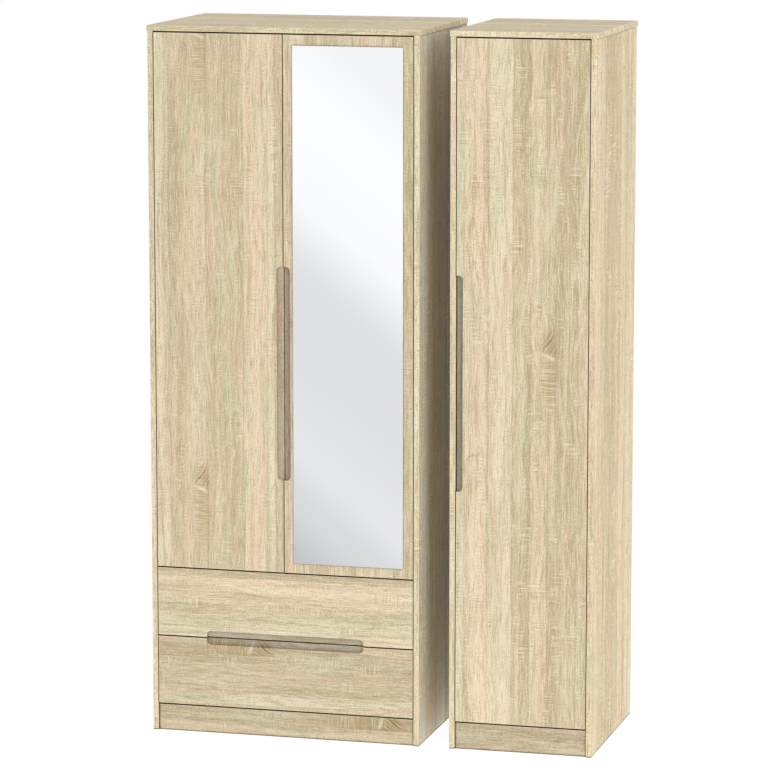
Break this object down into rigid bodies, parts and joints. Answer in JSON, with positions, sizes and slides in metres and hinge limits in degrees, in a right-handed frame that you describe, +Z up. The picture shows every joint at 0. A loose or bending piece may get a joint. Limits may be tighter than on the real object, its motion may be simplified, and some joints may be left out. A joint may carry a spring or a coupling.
{
  "type": "wardrobe with doors",
  "caption": "Free-standing oak-effect wardrobe pair: a wide cabinet with a plain door, a mirror door and drawers, and a narrow cabinet with a door, with milled finger grooves.",
  "frame": {"origin": "middle of the pair's footprint, on the floor", "axes": "+Z up, the fronts face -Y, +X runs from the wide cabinet to the narrow one"},
  "size_m": [1.245, 0.53, 1.95],
  "materials": {
    "oak_upright": "oak-effect laminate, grain upright, satin",
    "oak_level": "oak-effect laminate, grain level, satin",
    "drawer_board": "plain oak-effect laminate, satin",
    "hardboard": "smooth printed hardboard, matt",
    "mirror_glass": "silvered float glass, polished",
    "mounting_tape": "foam tape",
    "chrome_tube": "bright chrome plate",
    "nylon": "moulded nylon",
    "plastic": "moulded plastic",
    "coated_steel": "epoxy coated",
    "plated_steel": "nickel plated"
  },
  "bodies": {
    "wide_cabinet": {"cabinet_runners": "coated_steel", "left_hinge_arms": "plated_steel", "mirror_hinge_arms": "plated_steel", "wide_back_joiners": "plastic", "wide_back_sheets": "hardboard", "wide_cam_fittings": "plated_steel", "wide_divider": "oak_level", "wide_door_bumpers": "nylon", "wide_floor": "oak_level", "wide_front_plinth": "oak_level", "wide_hanging_rail": "chrome_tube", "wide_hat_shelf": "oak_level", "wide_hinge_plates": "plated_steel", "wide_hinge_screws": "plated_steel", "wide_left_side": "oak_upright", "wide_rail_sockets": "plastic", "wide_rear_plinth": "oak_level", "wide_right_side": "oak_upright", "wide_top": "oak_level"},
    "left_door": {"left_door": "oak_upright", "left_hinge_cups": "plated_steel", "left_hinge_pins": "plated_steel"},
    "mirror_door": {"mirror_door": "oak_upright", "mirror": "mirror_glass", "mirror_tape": "mounting_tape", "mirror_hinge_cups": "plated_steel", "mirror_hinge_pins": "plated_steel"},
    "narrow_door": {"narrow_door": "oak_upright", "narrow_hinge_cups": "plated_steel", "narrow_hinge_pins": "plated_steel"},
    "upper_drawer": {"upper_drawer_back": "drawer_board", "upper_drawer_bottom": "hardboard", "upper_drawer_front": "oak_level", "upper_drawer_runners": "coated_steel", "upper_drawer_sides": "drawer_board"},
    "upper_front_rollers": {"upper_drawer_front_rollers": "nylon"},
    "upper_rear_rollers": {"upper_drawer_rear_rollers": "nylon"},
    "lower_drawer": {"lower_drawer_back": "drawer_board", "lower_drawer_bottom": "hardboard", "lower_drawer_front": "oak_level", "lower_drawer_runners": "coated_steel", "lower_drawer_sides": "drawer_board"},
    "lower_front_rollers": {"lower_drawer_front_rollers": "nylon"},
    "lower_rear_rollers": {"lower_drawer_rear_rollers": "nylon"},
    "narrow_cabinet": {"narrow_back": "hardboard", "narrow_cam_fittings": "plated_steel", "narrow_door_bumpers": "nylon", "narrow_floor": "oak_level", "narrow_front_plinth": "oak_level", "narrow_hanging_rail": "chrome_tube", "narrow_hat_shelf": "oak_level", "narrow_hinge_arms": "plated_steel", "narrow_hinge_plates": "plated_steel", "narrow_hinge_screws": "plated_steel", "narrow_left_side": "oak_upright", "narrow_rail_sockets": "plastic", "narrow_rear_plinth": "oak_level", "narrow_right_side": "oak_upright", "narrow_top": "oak_level"}
  },
  "joints": [
    {"name": "left_door_hinge", "type": "hinge", "parent": "wide_cabinet", "child": "left_door", "pos_m": [-0.585, -0.2525, 1.198], "axis": [0, 0, -1], "range_deg": [0, 95]},
    {"name": "mirror_door_hinge", "type": "hinge", "parent": "wide_cabinet", "child": "mirror_door", "pos_m": [0.105, -0.2525, 1.198], "axis": [0, 0, 1], "range_deg": [0, 95]},
    {"name": "narrow_door_hinge", "type": "hinge", "parent": "narrow_cabinet", "child": "narrow_door", "pos_m": [0.585, -0.2525, 1.005], "axis": [0, 0, 1], "range_deg": [0, 95]},
    {"name": "narrow_cabinet_shift", "type": "slide", "parent": "wide_cabinet", "child": "narrow_cabinet", "axis": [1, 0, 0], "range_m": [-0.079, 0]},
    {"name": "upper_drawer_slide", "type": "slide", "parent": "wide_cabinet", "child": "upper_drawer", "axis": [0, -1, 0], "range_m": [0, 0.35]},
    {"name": "upper_front_roller_turn", "type": "hinge", "parent": "wide_cabinet", "child": "upper_front_rollers", "pos_m": [-0.24, -0.22, 0.2925], "axis": [1, 0, 0], "range_deg": [0, 2500]},
    {"name": "upper_rear_roller_turn", "type": "hinge", "parent": "upper_drawer", "child": "upper_rear_rollers", "pos_m": [-0.24, 0.2, 0.2896], "axis": [1, 0, 0], "range_deg": [0, 2500]},
    {"name": "lower_drawer_slide", "type": "slide", "parent": "wide_cabinet", "child": "lower_drawer", "axis": [0, -1, 0], "range_m": [0, 0.35]},
    {"name": "lower_front_roller_turn", "type": "hinge", "parent": "wide_cabinet", "child": "lower_front_rollers", "pos_m": [-0.24, -0.22, 0.0995], "axis": [1, 0, 0], "range_deg": [0, 2500]},
    {"name": "lower_rear_roller_turn", "type": "hinge", "parent": "lower_drawer", "child": "lower_rear_rollers", "pos_m": [-0.24, 0.2, 0.0966], "axis": [1, 0, 0], "range_deg": [0, 2500]}
  ],
  "couplings": [
    {"joint": "upper_front_roller_turn", "follows": "upper_drawer_slide", "rad_per_m": 121.95},
    {"joint": "upper_rear_roller_turn", "follows": "upper_drawer_slide", "rad_per_m": 121.95},
    {"joint": "lower_front_roller_turn", "follows": "lower_drawer_slide", "rad_per_m": 121.95},
    {"joint": "lower_rear_roller_turn", "follows": "lower_drawer_slide", "rad_per_m": 121.95}
  ]
}
